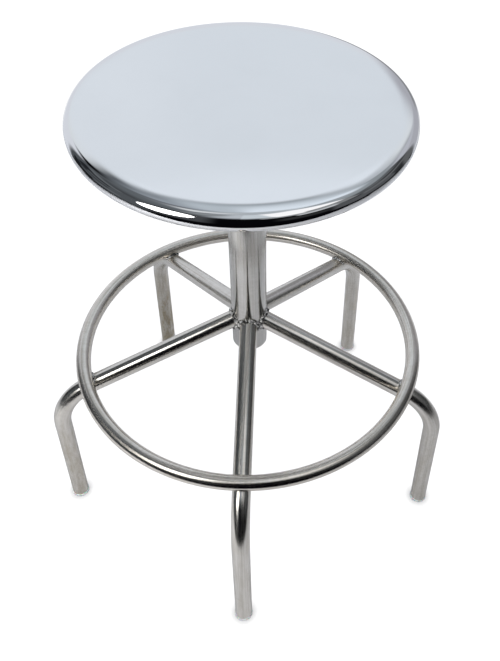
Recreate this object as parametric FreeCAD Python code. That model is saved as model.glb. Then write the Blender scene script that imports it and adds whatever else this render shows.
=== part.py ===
"""Height-adjustable stool with a screw spindle, five bent tube legs and a foot ring.

The origin is on the floor on the stool's axis, +Z is up and the front leg points along -Y.
Lengths are in millimetres and angles in degrees. The seat is modelled at its lowest setting.
"""
import FreeCAD, Part
import math
import os

from FreeCAD import Vector

# Fits and gaps
running_fit = 0.05  # radial, a shaft or screw in its hole
sliding_fit = 0.08  # radial, the guide bush in the hub
weld_gap = 0.05  # between two curved faces that are welded together
rest_gap = 0.3  # axial, between faces that turn or stop on each other
overrun = 5.0  # how far a cutting solid runs past what it cuts

# Seat
seat_diameter = 406.4
seat_edge_diameter = 25.4  # the rolled edge, and so the seat's thickness
seat_sheet = 1.5
seat_lip_width = 14.0  # flat lip turned in under the rolled edge
seat_height = 698.0  # floor to seat top, lowest setting
seat_travel = 177.8

# Seat stiffener, a pressed dish under the seat sheet
stiffener_sheet = 2.0
stiffener_depth = 20.0
stiffener_rim_radius = 165.0
stiffener_shoulder_radius = 122.0
stiffener_floor_radius = 96.0
stiffener_bore_radius = 24.0

# Seat flange and what fastens it
flange_radius = 80.0
flange_thickness = 6.0
flange_chamfer = 3.0  # weld preparation round the spindle
screw_count = 4
screw_circle_radius = 60.0
screw_radius = 4.0
screw_hole_radius = 4.5
screw_head_width = 13.0
screw_head_height = 5.3
screw_tip_proud = 1.5  # past the weld nut
weld_nut_width = 14.0
weld_nut_height = 6.5

# Hub and what closes its lower end
hub_diameter = 50.8
hub_wall = 3.0
hub_end_below_legs = 34.3  # from the legs' lowest contact to the hub's lower end
plug_recess = 0.5
plug_face_thickness = 3.0
plug_skirt_length = 14.0
plug_skirt_wall = 2.5

# Spindle nut, its set screws and the thrust washer
nut_flange_thickness = 5.0
nut_body_length = 40.0
set_screw_count = 3
set_screw_radius = 3.0
set_screw_depth_below_top = 14.0
set_screw_bite = 2.0  # into the nut's body
set_screw_recess = 0.4  # below the hub's outside
washer_radius = 23.5
washer_thickness = 3.0
washer_bore_clearance = 0.5

# Spindle, its tail and the guide bush
spindle_diameter = 28.575
spindle_chamfer = 1.0
tail_radius = 9.0
bush_length = 30.0
bush_chamfer = 1.5
tail_washer_radius = 19.0
tail_washer_thickness = 3.0
tail_bolt_radius = 5.0
tail_bolt_length = 22.0
tail_bolt_head_width = 17.0
tail_bolt_head_height = 6.4
tapped_hole_spare = 3.0

# Legs
leg_diameter = 25.4
leg_wall = 1.65
leg_axis_height = 352.7  # where the upper centrelines meet on the stool's axis
leg_slope = 19.3  # of the upper run, below level
leg_splay = 1.9  # of the lower run, off plumb
leg_bend_radius = 82.0
foot_radius = 302.5  # stool's axis to the lower centreline, on the floor

# Foot ring
ring_radius = 248.0
ring_tube_diameter = 21.3
ring_wall = 1.65
ring_seat_depth = 4.9  # how deep it lies in the legs

# Weld beads
hub_bead = 2.2
ring_bead = 2.6

# Glides
glide_head_thickness = 4.8
glide_overhang = 0.8  # of the head round the tube
glide_top_chamfer = 0.8
glide_floor_chamfer = 1.6
glide_stem_length = 20.0
glide_rib_height = 1.4
glide_rib_count = 2
glide_rib_share = 0.45  # of the ribs' pitch that a rib takes up

leg_names = ["front", "front_right", "rear_right", "rear_left", "front_left"]
front_angle = -90.0
full_turn = 360.0

up = Vector(0, 0, 1)
axis_y = Vector(0, 1, 0)
origin = Vector(0, 0, 0)

# Radii of round pieces
seat_radius = seat_diameter / 2
edge_radius = seat_edge_diameter / 2
hub_radius = hub_diameter / 2
hub_bore_radius = hub_radius - hub_wall
leg_radius = leg_diameter / 2
leg_bore_radius = leg_radius - leg_wall
ring_tube_radius = ring_tube_diameter / 2
spindle_radius = spindle_diameter / 2

# Heights of the stack under the seat, from the top down
sheet_underside = seat_height - seat_sheet
flange_top = sheet_underside - stiffener_depth
flange_underside = flange_top - flange_thickness
washer_top = flange_underside - rest_gap
nut_top = washer_top - washer_thickness
hub_top_height = nut_top - nut_flange_thickness
nut_bottom = hub_top_height - nut_body_length
bush_top = nut_bottom - seat_travel - rest_gap
bush_bottom = bush_top - bush_length
shoulder_height = bush_top + rest_gap
tail_bottom = bush_bottom - rest_gap

# Leg centreline in the XZ plane, with X outward
slope = math.radians(leg_slope)
splay = math.radians(leg_splay)
upper_direction = Vector(math.cos(slope), 0, -math.sin(slope))
lower_direction = Vector(math.sin(splay), 0, -math.cos(splay))
bend_turn = math.pi / 2 - slope - splay
corner_x = (foot_radius - leg_axis_height * math.tan(splay)) / (1 - math.tan(slope) * math.tan(splay))
corner = Vector(corner_x, 0, leg_axis_height - corner_x * math.tan(slope))
bend_reach = leg_bend_radius * math.tan(bend_turn / 2)
leg_start = Vector(0, 0, leg_axis_height)
bend_start = corner - upper_direction * bend_reach
bend_end = corner + lower_direction * bend_reach
bend_centre = bend_start - Vector(math.sin(slope), 0, math.cos(slope)) * leg_bend_radius

# The hub's lower end, below the lowest point where a leg meets the hub
leg_contact_height = leg_axis_height - hub_radius * math.tan(slope) - leg_radius / math.cos(slope)
hub_bottom_height = leg_contact_height - hub_end_below_legs


def ring_centre_height():
    """Height of the ring's centreline that seats it by ring_seat_depth in the legs."""
    distance = leg_radius + ring_tube_radius - ring_seat_depth
    contact_x = ring_radius - distance * math.sin(slope)
    if contact_x <= bend_start.x:
        return leg_axis_height - ring_radius * math.tan(slope) + distance / math.cos(slope)
    reach = leg_bend_radius + distance
    return bend_centre.z + math.sqrt(reach ** 2 - (ring_radius - bend_centre.x) ** 2)


ring_height = ring_centre_height()


def turned(shape, angle):
    """A copy of a shape, turned about the stool's axis."""
    copy = shape.copy()
    copy.rotate(origin, up, angle)
    return copy


def round_pattern(shape, count, first_angle=0.0):
    """Equally spaced copies of a shape round the stool's axis."""
    return [turned(shape, first_angle + full_turn * i / count) for i in range(count)]


def disc(radius, bottom, top):
    """A cylinder on the stool's axis between two heights."""
    return Part.makeCylinder(radius, top - bottom, Vector(0, 0, bottom), up)


def washer(outer, inner, bottom, top):
    """A ring of rectangular section on the stool's axis."""
    return disc(outer, bottom, top).cut(disc(inner, bottom - overrun, top + overrun))


def revolved(points):
    """A solid of revolution about the stool's axis from an outline of (radius, height) points."""
    corners = [Vector(r, 0, z) for r, z in points]
    outline = Part.makePolygon(corners + corners[:1])
    return Part.Face(outline).revolve(origin, up, full_turn)


def sheet_outline(points, thickness):
    """The outline of a bent sheet: its upper line of (r, z) points, and that line offset downward."""
    normals = []
    for (r0, z0), (r1, z1) in zip(points, points[1:]):
        length = math.hypot(r1 - r0, z1 - z0)
        normals.append(((z1 - z0) / length, (r0 - r1) / length))
    lower = []
    for i, (r, z) in enumerate(points):
        before = normals[max(i - 1, 0)]
        after = normals[min(i, len(normals) - 1)]
        share = thickness / (1 + before[0] * after[0] + before[1] * after[1])
        lower.append((r + (before[0] + after[0]) * share, z + (before[1] + after[1]) * share))
    return points + lower[::-1]


def hex_prism(width_across_flats, bottom, top):
    """A hexagonal prism on the stool's axis."""
    corner_radius = width_across_flats / 2 / math.cos(math.pi / 6)
    corners = []
    for i in range(7):
        angle = math.pi / 3 * i
        corners.append(Vector(corner_radius * math.cos(angle), corner_radius * math.sin(angle), bottom))
    return Part.Face(Part.makePolygon(corners)).extrude(up * (top - bottom))


def hex_bolt(radius, head_width, head_bottom, head_top, tip):
    """A hexagon-head bolt that points up, on the stool's axis."""
    head = hex_prism(head_width, head_bottom, head_top)
    return head.fuse(disc(radius, head_top, tip)).removeSplitter()


def seat_pan():
    """The spun seat: flat top, full-round edge and a lip turned in below, all of one sheet."""
    edge_x = seat_radius - edge_radius
    lip_x = edge_x - seat_lip_width
    edge_z = seat_height - edge_radius
    bottom = seat_height - seat_edge_diameter
    inner = edge_radius - seat_sheet
    top_centre = Vector(0, 0, seat_height)
    outer_arc = Part.Arc(
        Vector(edge_x, 0, seat_height), Vector(seat_radius, 0, edge_z), Vector(edge_x, 0, bottom))
    inner_arc = Part.Arc(
        Vector(edge_x, 0, bottom + seat_sheet), Vector(edge_x + inner, 0, edge_z),
        Vector(edge_x, 0, sheet_underside))
    edges = [
        Part.LineSegment(top_centre, Vector(edge_x, 0, seat_height)),
        outer_arc,
        Part.LineSegment(Vector(edge_x, 0, bottom), Vector(lip_x, 0, bottom)),
        Part.LineSegment(Vector(lip_x, 0, bottom), Vector(lip_x, 0, bottom + seat_sheet)),
        Part.LineSegment(Vector(lip_x, 0, bottom + seat_sheet), Vector(edge_x, 0, bottom + seat_sheet)),
        inner_arc,
        Part.LineSegment(Vector(edge_x, 0, sheet_underside), Vector(0, 0, sheet_underside)),
        Part.LineSegment(Vector(0, 0, sheet_underside), top_centre),
    ]
    wire = Part.Wire([edge.toShape() for edge in edges])
    return Part.Face(wire).revolve(origin, up, full_turn)


def screw_holes(radius, bottom, top):
    """The cutters for the seat screws' holes."""
    hole = disc(radius, bottom - overrun, top + overrun)
    hole.translate(Vector(screw_circle_radius, 0, 0))
    return round_pattern(hole, screw_count, full_turn / screw_count / 2)


def seat_stiffener():
    """The pressed dish that carries the seat sheet, with a flat floor for the flange."""
    floor_top = flange_top + stiffener_sheet
    upper_line = [
        (stiffener_bore_radius, floor_top),
        (stiffener_floor_radius, floor_top),
        (stiffener_shoulder_radius, sheet_underside),
        (stiffener_rim_radius, sheet_underside),
    ]
    dish = revolved(sheet_outline(upper_line, stiffener_sheet))
    return dish.cut(screw_holes(screw_hole_radius, flange_top, floor_top))


def seat_flange():
    """The plate on the spindle's upper end, chamfered for its weld."""
    plate = washer(flange_radius, spindle_radius + running_fit, flange_underside, flange_top)
    chamfer = Part.makeCone(
        spindle_radius + running_fit, spindle_radius + running_fit + flange_chamfer,
        flange_chamfer, Vector(0, 0, flange_top - flange_chamfer), up)
    return plate.cut([chamfer] + screw_holes(screw_hole_radius, flange_underside, flange_top))


def flange_weld_bead():
    """The bead that fills the flange's chamfer."""
    inner = spindle_radius + weld_gap
    return revolved([
        (inner, flange_top - flange_chamfer + 2 * weld_gap),
        (inner + flange_chamfer - 2 * weld_gap, flange_top),
        (inner, flange_top),
    ])


def seat_screws():
    """The hexagon-head screws from below the flange into the weld nuts."""
    tip = flange_top + stiffener_sheet + weld_nut_height + screw_tip_proud
    screw = hex_bolt(screw_radius, screw_head_width, flange_underside - screw_head_height, flange_underside, tip)
    screw.translate(Vector(screw_circle_radius, 0, 0))
    return Part.makeCompound(round_pattern(screw, screw_count, full_turn / screw_count / 2))


def weld_nuts():
    """The hexagon nuts on the stiffener's floor."""
    bottom = flange_top + stiffener_sheet
    top = bottom + weld_nut_height
    nut = hex_prism(weld_nut_width, bottom, top)
    nut = nut.cut(disc(screw_radius + running_fit, bottom - overrun, top + overrun))
    nut.translate(Vector(screw_circle_radius, 0, 0))
    return Part.makeCompound(round_pattern(nut, screw_count, full_turn / screw_count / 2))


def spindle():
    """The screw's bar at its major diameter, with a reduced tail that is tapped for the bolt."""
    bar = revolved([
        (0, flange_top),
        (spindle_radius, flange_top),
        (spindle_radius, shoulder_height + spindle_chamfer),
        (spindle_radius - spindle_chamfer, shoulder_height),
        (tail_radius, shoulder_height),
        (tail_radius, tail_bottom),
        (0, tail_bottom),
    ])
    hole_top = tail_bottom + tail_bolt_length - tail_washer_thickness + tapped_hole_spare
    return bar.cut(disc(tail_bolt_radius + running_fit, tail_bottom - overrun, hole_top))


def tail_washer():
    """The washer that holds the guide bush on the spindle's tail."""
    return washer(
        tail_washer_radius, tail_bolt_radius + running_fit, tail_bottom - tail_washer_thickness, tail_bottom)


def tail_bolt():
    """The bolt that holds the tail washer."""
    head_top = tail_bottom - tail_washer_thickness
    return hex_bolt(
        tail_bolt_radius, tail_bolt_head_width, head_top - tail_bolt_head_height, head_top,
        head_top + tail_bolt_length)


def guide_bush():
    """The nylon bush that slides in the hub's bore while the spindle turns in it."""
    outer = hub_bore_radius - sliding_fit
    inner = tail_radius + running_fit
    return revolved([
        (inner, bush_bottom),
        (outer - bush_chamfer, bush_bottom),
        (outer, bush_bottom + bush_chamfer),
        (outer, bush_top - bush_chamfer),
        (outer - bush_chamfer, bush_top),
        (inner, bush_top),
    ])


def set_screw_rods(radius, inner_radius, outer_radius):
    """Radial rods at the set screws' places, between two distances from the stool's axis."""
    height = hub_top_height - set_screw_depth_below_top
    rod = Part.makeCylinder(radius, outer_radius - inner_radius, Vector(inner_radius, 0, height), Vector(1, 0, 0))
    return round_pattern(rod, set_screw_count, front_angle + full_turn / set_screw_count / 2)


def nut_set_screws():
    """The set screws in the hub's wall that bite into the nut."""
    inner = hub_bore_radius - set_screw_bite
    return Part.makeCompound(set_screw_rods(set_screw_radius, inner, hub_radius - set_screw_recess))


def spindle_nut():
    """The bronze nut: a body inside the hub and a flange on its top."""
    inner = spindle_radius + running_fit
    body = hub_bore_radius - running_fit
    nut = revolved([
        (inner, nut_bottom),
        (body, nut_bottom),
        (body, hub_top_height),
        (hub_radius, hub_top_height),
        (hub_radius, nut_top),
        (inner, nut_top),
    ])
    bite = hub_bore_radius - set_screw_bite - running_fit
    return nut.cut(set_screw_rods(set_screw_radius + running_fit, bite, hub_radius))


def thrust_washer():
    """The washer on the nut, on which the flange rests at the lowest setting."""
    return washer(washer_radius, spindle_radius + washer_bore_clearance, nut_top, washer_top)


def hub_tube():
    """The centre tube, with tapped holes for the set screws."""
    tube = washer(hub_radius, hub_bore_radius, hub_bottom_height, hub_top_height)
    holes = set_screw_rods(set_screw_radius + running_fit, hub_bore_radius - overrun, hub_radius + overrun)
    return tube.cut(holes)


def hub_plug():
    """The plastic cup that closes the hub's lower end."""
    outer = hub_bore_radius - running_fit
    inner = outer - plug_skirt_wall
    bottom = hub_bottom_height + plug_recess
    face_top = bottom + plug_face_thickness
    skirt_top = bottom + plug_skirt_length
    return revolved([
        (0, bottom), (outer, bottom), (outer, skirt_top), (inner, skirt_top), (inner, face_top), (0, face_top),
    ])


def leg_rod(radius):
    """A solid rod along one leg's whole centreline, past the floor by the overrun."""
    upper = Part.makeCylinder(radius, (bend_start - leg_start).Length, leg_start, upper_direction)
    section = Part.Face(Part.Wire(Part.makeCircle(radius, bend_start, upper_direction)))
    bend = section.revolve(bend_centre, axis_y, math.degrees(bend_turn))
    lower_length = bend_end.z / math.cos(splay) + overrun
    lower = Part.makeCylinder(radius, lower_length, bend_end, lower_direction)
    return upper.fuse([bend, lower])


def ring_rod(radius):
    """A solid ring on the foot ring's centreline."""
    return Part.makeTorus(ring_radius, radius, Vector(0, 0, ring_height), up)


def leg():
    """One leg tube along +X, coped to the hub, saddled for the ring and cut level for its glide."""
    tube = leg_rod(leg_radius).cut(leg_rod(leg_bore_radius))
    hub = disc(hub_radius + weld_gap, 0, leg_axis_height + hub_diameter)
    floor = Part.makeBox(
        leg_diameter * 2, leg_diameter * 2, glide_head_thickness + 2 * overrun,
        Vector(foot_radius - leg_diameter, -leg_diameter, -2 * overrun))
    return tube.cut([hub, floor, ring_rod(ring_tube_radius + weld_gap)]).removeSplitter()


def foot_ring():
    """The ring's tube."""
    return ring_rod(ring_tube_radius).cut(ring_rod(ring_tube_radius - ring_wall))


def hub_weld_beads():
    """The beads round the legs at the hub."""
    low = hub_bottom_height
    high = leg_axis_height + hub_diameter
    bead = Part.makeCylinder(leg_radius + hub_bead, hub_diameter, leg_start, upper_direction)
    bead = bead.common(disc(hub_radius + hub_bead, low, high))
    core = Part.makeCylinder(leg_radius + weld_gap, hub_diameter, leg_start, upper_direction)
    bead = bead.cut([core, disc(hub_radius + weld_gap, low - overrun, high)])
    beads = round_pattern(bead, len(leg_names), front_angle)
    return Part.makeCompound(beads[0].fuse(beads[1:]).Solids)


def ring_weld_beads():
    """The beads on the hub side of the ring's saddles on the legs, up to the middle of each saddle."""
    bead = leg_rod(leg_radius + ring_bead).common(ring_rod(ring_tube_radius + ring_bead))
    bead = bead.cut([leg_rod(leg_radius + weld_gap), ring_rod(ring_tube_radius + weld_gap)])
    arm = Vector(ring_radius, 0, ring_height) - bend_centre
    lean = max(math.sin(slope), arm.x / arm.Length)
    bead = bead.common(disc(ring_radius - ring_tube_radius * lean, 0, leg_axis_height))
    beads = round_pattern(Part.makeCompound(bead.Solids), len(leg_names), front_angle)
    return Part.makeCompound([solid for group in beads for solid in group.Solids])


def glide():
    """One glide under a leg along +X: a level head with eased edges, and a ribbed stem up the tube."""
    centre_x = foot_radius - glide_head_thickness * math.tan(splay)
    head_radius = leg_radius + glide_overhang
    head = revolved([
        (0, 0),
        (head_radius - glide_floor_chamfer, 0),
        (head_radius, glide_floor_chamfer),
        (head_radius, glide_head_thickness - glide_top_chamfer),
        (head_radius - glide_top_chamfer, glide_head_thickness),
        (0, glide_head_thickness),
    ])
    rib_radius = leg_bore_radius - running_fit
    core = rib_radius - glide_rib_height
    base = -glide_head_thickness / 2
    pitch = glide_stem_length / glide_rib_count
    outline = [(0, base), (core, base)]
    for i in range(glide_rib_count):
        rib_top = pitch * (i + 1)
        rib_bottom = rib_top - pitch * glide_rib_share
        outline += [(core, rib_bottom), (rib_radius, rib_bottom), (core, rib_top)]
    outline.append((0, glide_stem_length))
    stem = revolved(outline)
    stem.rotate(origin, axis_y, -leg_splay)
    stem.translate(Vector(0, 0, glide_head_thickness))
    piece = head.fuse(stem).removeSplitter()
    piece.translate(Vector(centre_x, 0, 0))
    return piece


def build():
    """All pieces by node name."""
    pieces = {
        "seat_pan": seat_pan(),
        "seat_stiffener": seat_stiffener(),
        "seat_flange": seat_flange(),
        "flange_weld_bead": flange_weld_bead(),
        "seat_screws": seat_screws(),
        "weld_nuts": weld_nuts(),
        "spindle": spindle(),
        "tail_washer": tail_washer(),
        "tail_bolt": tail_bolt(),
        "guide_bush": guide_bush(),
        "spindle_nut": spindle_nut(),
        "nut_set_screws": nut_set_screws(),
        "thrust_washer": thrust_washer(),
        "hub_tube": hub_tube(),
        "hub_plug": hub_plug(),
        "foot_ring": foot_ring(),
        "hub_weld_beads": hub_weld_beads(),
        "ring_weld_beads": ring_weld_beads(),
    }
    legs = round_pattern(leg(), len(leg_names), front_angle)
    glides = round_pattern(glide(), len(leg_names), front_angle)
    for name, one_leg, one_glide in zip(leg_names, legs, glides):
        pieces["leg_" + name] = one_leg
        pieces["glide_" + name] = one_glide
    return pieces


os.makedirs("parts", exist_ok=True)
for node, piece in build().items():
    piece.exportStep("parts/" + node + ".step")
    print(node, "solids", len(piece.Solids), "valid", piece.isValid(), "volume", round(piece.Volume, 1))
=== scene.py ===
"""Looks of a height-adjustable stool: a polished seat on a screw spindle, five bent legs and a foot ring.

The frame is the construction model's: metres, the floor at zero, +Z up along the stool's axis, and the
front leg along -Y. A size that a construction node shows is read from its box. The others are fields.
"""
import logging
import math
from dataclasses import dataclass, field
from enum import Enum
from typing import Any, Callable, Sequence

import bpy
from mathutils import Matrix, Vector, noise


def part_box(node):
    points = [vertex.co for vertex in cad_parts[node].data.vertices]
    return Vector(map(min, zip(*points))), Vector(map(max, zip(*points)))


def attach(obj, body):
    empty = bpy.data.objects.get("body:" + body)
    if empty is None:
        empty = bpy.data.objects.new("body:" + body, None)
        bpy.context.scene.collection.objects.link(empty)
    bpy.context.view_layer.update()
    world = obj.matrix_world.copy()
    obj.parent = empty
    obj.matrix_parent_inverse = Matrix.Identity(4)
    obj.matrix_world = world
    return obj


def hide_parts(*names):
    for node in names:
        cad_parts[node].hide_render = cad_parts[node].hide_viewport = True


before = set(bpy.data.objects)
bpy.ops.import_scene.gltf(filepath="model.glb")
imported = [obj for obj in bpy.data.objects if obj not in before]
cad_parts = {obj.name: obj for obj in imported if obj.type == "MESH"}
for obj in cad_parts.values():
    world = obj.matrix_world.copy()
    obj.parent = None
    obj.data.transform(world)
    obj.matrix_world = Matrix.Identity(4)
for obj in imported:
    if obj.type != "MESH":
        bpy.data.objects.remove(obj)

log = logging.getLogger("stool")
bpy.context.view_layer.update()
UP = Vector((0, 0, 1))
SIDE = Vector((0, 1, 0))
ORIGIN = Vector((0, 0, 0))
BLACK = (0.0, 0.0, 0.0)
WHITE = (1.0, 1.0, 1.0)
STAIN_SHADE_ATTRIBUTE = "stain_and_shade_weight"
MERGE_DISTANCE = 0.000001
POLE_RADIUS = 0.004
ProfilePoint = tuple[float, float]
Colour = tuple[float, float, float]
Inputs = dict[str | int, Any]
Material = bpy.types.Material
Seam = Callable[[float], tuple[Vector, Vector]]


class Body(Enum):
    """The bodies that a dressed piece rides on."""

    BASE = "base"
    SEAT = "seat"


class Pattern(Enum):
    """Where a finish takes the coordinates of its scratches from."""

    OBJECT = "object"
    TUBE = "grain"


@dataclass(frozen=True)
class Grain:
    """A noise over a surface, which also serves as soft-edged patches or as a relief.

    The frequency is per metre along each axis. The patches' edges rise round the middle, over the softness
    each side.
    """

    frequency: Sequence[float]
    octaves: float = 2.0
    middle: float = 0.5
    softness: float = 0.2
    depth: float = 0.0
    fine_share: float = 0.55


class Wire:
    """A socket of a node tree that takes part in sums, each of which adds a Math node."""

    def __init__(self, desk: "NodeDesk", socket: bpy.types.NodeSocket) -> None:
        """Keeps the socket and the desk that its tree lies on."""
        self.desk = desk
        self.socket = socket

    def _math(self, operation: str, *values: Any) -> "Wire":
        """Adds a Math node on these values."""
        return self.desk.node("ShaderNodeMath", {"operation": operation}, dict(enumerate(values)))

    def __add__(self, other: Any) -> "Wire":
        """Returns self + other."""
        return self._math("ADD", self, other)

    def __sub__(self, other: Any) -> "Wire":
        """Returns self - other."""
        return self._math("SUBTRACT", self, other)

    def __rsub__(self, other: Any) -> "Wire":
        """Returns other - self."""
        return self._math("SUBTRACT", other, self)

    def __mul__(self, other: Any) -> "Wire":
        """Returns self * other."""
        return self._math("MULTIPLY", self, other)

    def __truediv__(self, other: Any) -> "Wire":
        """Returns self / other."""
        return self._math("DIVIDE", self, other)

    def __rtruediv__(self, other: Any) -> "Wire":
        """Returns other / self."""
        return self._math("DIVIDE", other, self)

    __radd__ = __add__
    __rmul__ = __mul__

    def call(self, operation: str, *values: Any) -> "Wire":
        """Returns a Math operation of self and any further values, such as ARCSINE or ARCTAN2."""
        return self._math(operation, self, *values)

    def step(self, middle: float, softness: float) -> "Wire":
        """Returns 0 below the middle and 1 above it, with a smooth rise over the softness each side."""
        limits = {"From Min": middle - softness, "From Max": middle + softness}
        return self.desk.node("ShaderNodeMapRange", {"interpolation_type": "SMOOTHSTEP"},
                              {"Value": self, **limits})

    def within(self, low: float, high: float, softness: float) -> "Wire":
        """Returns 1 between two limits and 0 outside them, with smooth edges."""
        return self.step(low, softness) * (1 - self.step(high, softness))


class NodeDesk:
    """A node tree, and the one way in which nodes are added to it."""

    def __init__(self, tree: bpy.types.NodeTree) -> None:
        """Clears the tree."""
        self.tree = tree
        tree.nodes.clear()

    @classmethod
    def of_material(cls, name: str) -> tuple[Material, "NodeDesk"]:
        """Makes a material.

        Args:
            name: Its name.

        Returns:
            The material and the desk of its empty tree.
        """
        made = bpy.data.materials.new(name)
        made.use_nodes = True
        return made, cls(made.node_tree)

    def node(self, kind: str, settings: dict[str, Any] | None = None, inputs: Inputs | None = None,
             output: str | int = 0) -> Wire | None:
        """Adds a node.

        Args:
            kind: The node's type.
            settings: Its settings, which are set before its sockets.
            inputs: Values or wires by the name or number of the socket.
            output: The name or number of the socket to return.

        Returns:
            The chosen output, or nothing from a node that ends the tree.
        """
        made = self.tree.nodes.new(kind)
        for name, value in (settings or {}).items():
            setattr(made, name, value)
        for key, value in (inputs or {}).items():
            if isinstance(value, Wire):
                self.tree.links.new(value.socket, made.inputs[key])
            else:
                made.inputs[key].default_value = value
        return Wire(self, made.outputs[output]) if len(made.outputs) else None

    def noise(self, place: Wire, grain: Grain) -> Wire:
        """Returns a grain's noise, from 0 to 1, at these coordinates."""
        scaled = self.node("ShaderNodeVectorMath", {"operation": "MULTIPLY"}, {0: place, 1: grain.frequency})
        return self.node("ShaderNodeTexNoise", None, {
            "Vector": scaled, "Scale": 1.0, "Detail": grain.octaves, "Roughness": grain.fine_share})

    def patches(self, place: Wire, grain: Grain) -> Wire:
        """Returns 1 in a grain's patches and 0 between them, with soft edges."""
        return self.noise(place, grain).step(grain.middle, grain.softness)

    def mix(self, share: Any, first: Any, second: Any) -> Wire:
        """Returns a colour between two colours.

        Args:
            share: How much of the second there is.
            first: The first colour.
            second: The second colour.

        Returns:
            The mixed colour.
        """
        inputs = {"Factor": share}
        for key, colour in ((6, first), (7, second)):
            inputs[key] = colour if isinstance(colour, Wire) else (*colour, 1.0)
        return self.node("ShaderNodeMix", {"data_type": "RGBA"}, inputs, 2)

    def coordinates(self, pattern: Pattern = Pattern.OBJECT) -> Wire:
        """Returns Object coordinates, or the grain attribute of a tube."""
        if pattern is Pattern.TUBE:
            return self.node("ShaderNodeAttribute", {"attribute_name": pattern.value}, None, "Vector")
        return self.node("ShaderNodeTexCoord", None, None, "Object")

    def axes(self) -> list[Wire]:
        """Returns the three Object coordinates, each on its own."""
        parts = self.node("ShaderNodeSeparateXYZ", None, {0: self.coordinates()})
        return [Wire(self, socket) for socket in parts.socket.node.outputs]

    def end(self, shader: Wire, kind: str = "ShaderNodeOutputMaterial") -> None:
        """Ends the tree in an output node."""
        self.node(kind, None, {"Surface": shader})

    def bumps(self, *layers: tuple[Wire, Grain]) -> Wire:
        """Stacks height layers into one normal.

        Args:
            layers: Each layer's height, and the grain that gives its depth in metres.

        Returns:
            The normal.
        """
        normal = None
        for height, grain in layers:
            inputs = {"Height": height, "Strength": 1.0, "Distance": grain.depth}
            if normal is not None:
                inputs["Normal"] = normal
            normal = self.node("ShaderNodeBump", None, inputs)
        return normal


@dataclass(frozen=True)
class Finish:
    """A finish, which says how the Principled shader of its material is fed."""

    name: str

    def inputs(self, desk: NodeDesk) -> Inputs:
        """Lays the finish's nodes and returns what they feed into the shader."""
        raise NotImplementedError

    def material(self) -> Material:
        """Returns the finish as a material."""
        made, desk = NodeDesk.of_material(self.name)
        desk.end(desk.node("ShaderNodeBsdfPrincipled", None, self.inputs(desk)))
        return made


@dataclass(frozen=True)
class MirrorSheet(Finish):
    """Mirror polished steel sheet, with a breath of haze where hands and cloths have been."""

    name: str = "mirror_sheet"
    colour: Colour = (0.87, 0.87, 0.87)
    hazy_colour: Colour = (0.85, 0.85, 0.85)
    roughness: float = 0.03
    haze_roughness: float = 0.05
    haze: Grain = Grain((9.0,) * 3, 4.0, 0.55)
    scuff: Grain = Grain((420.0,) * 3, depth=0.0000004)
    ripple: Grain = Grain((14.0,) * 3, 1.0, depth=0.00001)

    def inputs(self, desk: NodeDesk) -> Inputs:
        """Lays the nodes of the haze, the scuffs and the sheet's slow ripple.

        Args:
            desk: Where they go.

        Returns:
            The inputs of the shader.
        """
        place = desk.coordinates()
        haze = desk.patches(place, self.haze)
        scuff = desk.noise(place, self.scuff)
        return {
            "Base Color": desk.mix(haze, self.colour, self.hazy_colour),
            "Metallic": 1.0,
            "Roughness": self.roughness + haze * scuff * self.haze_roughness,
            "Normal": desk.bumps((desk.noise(place, self.ripple), self.ripple), (scuff, self.scuff)),
        }


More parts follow.
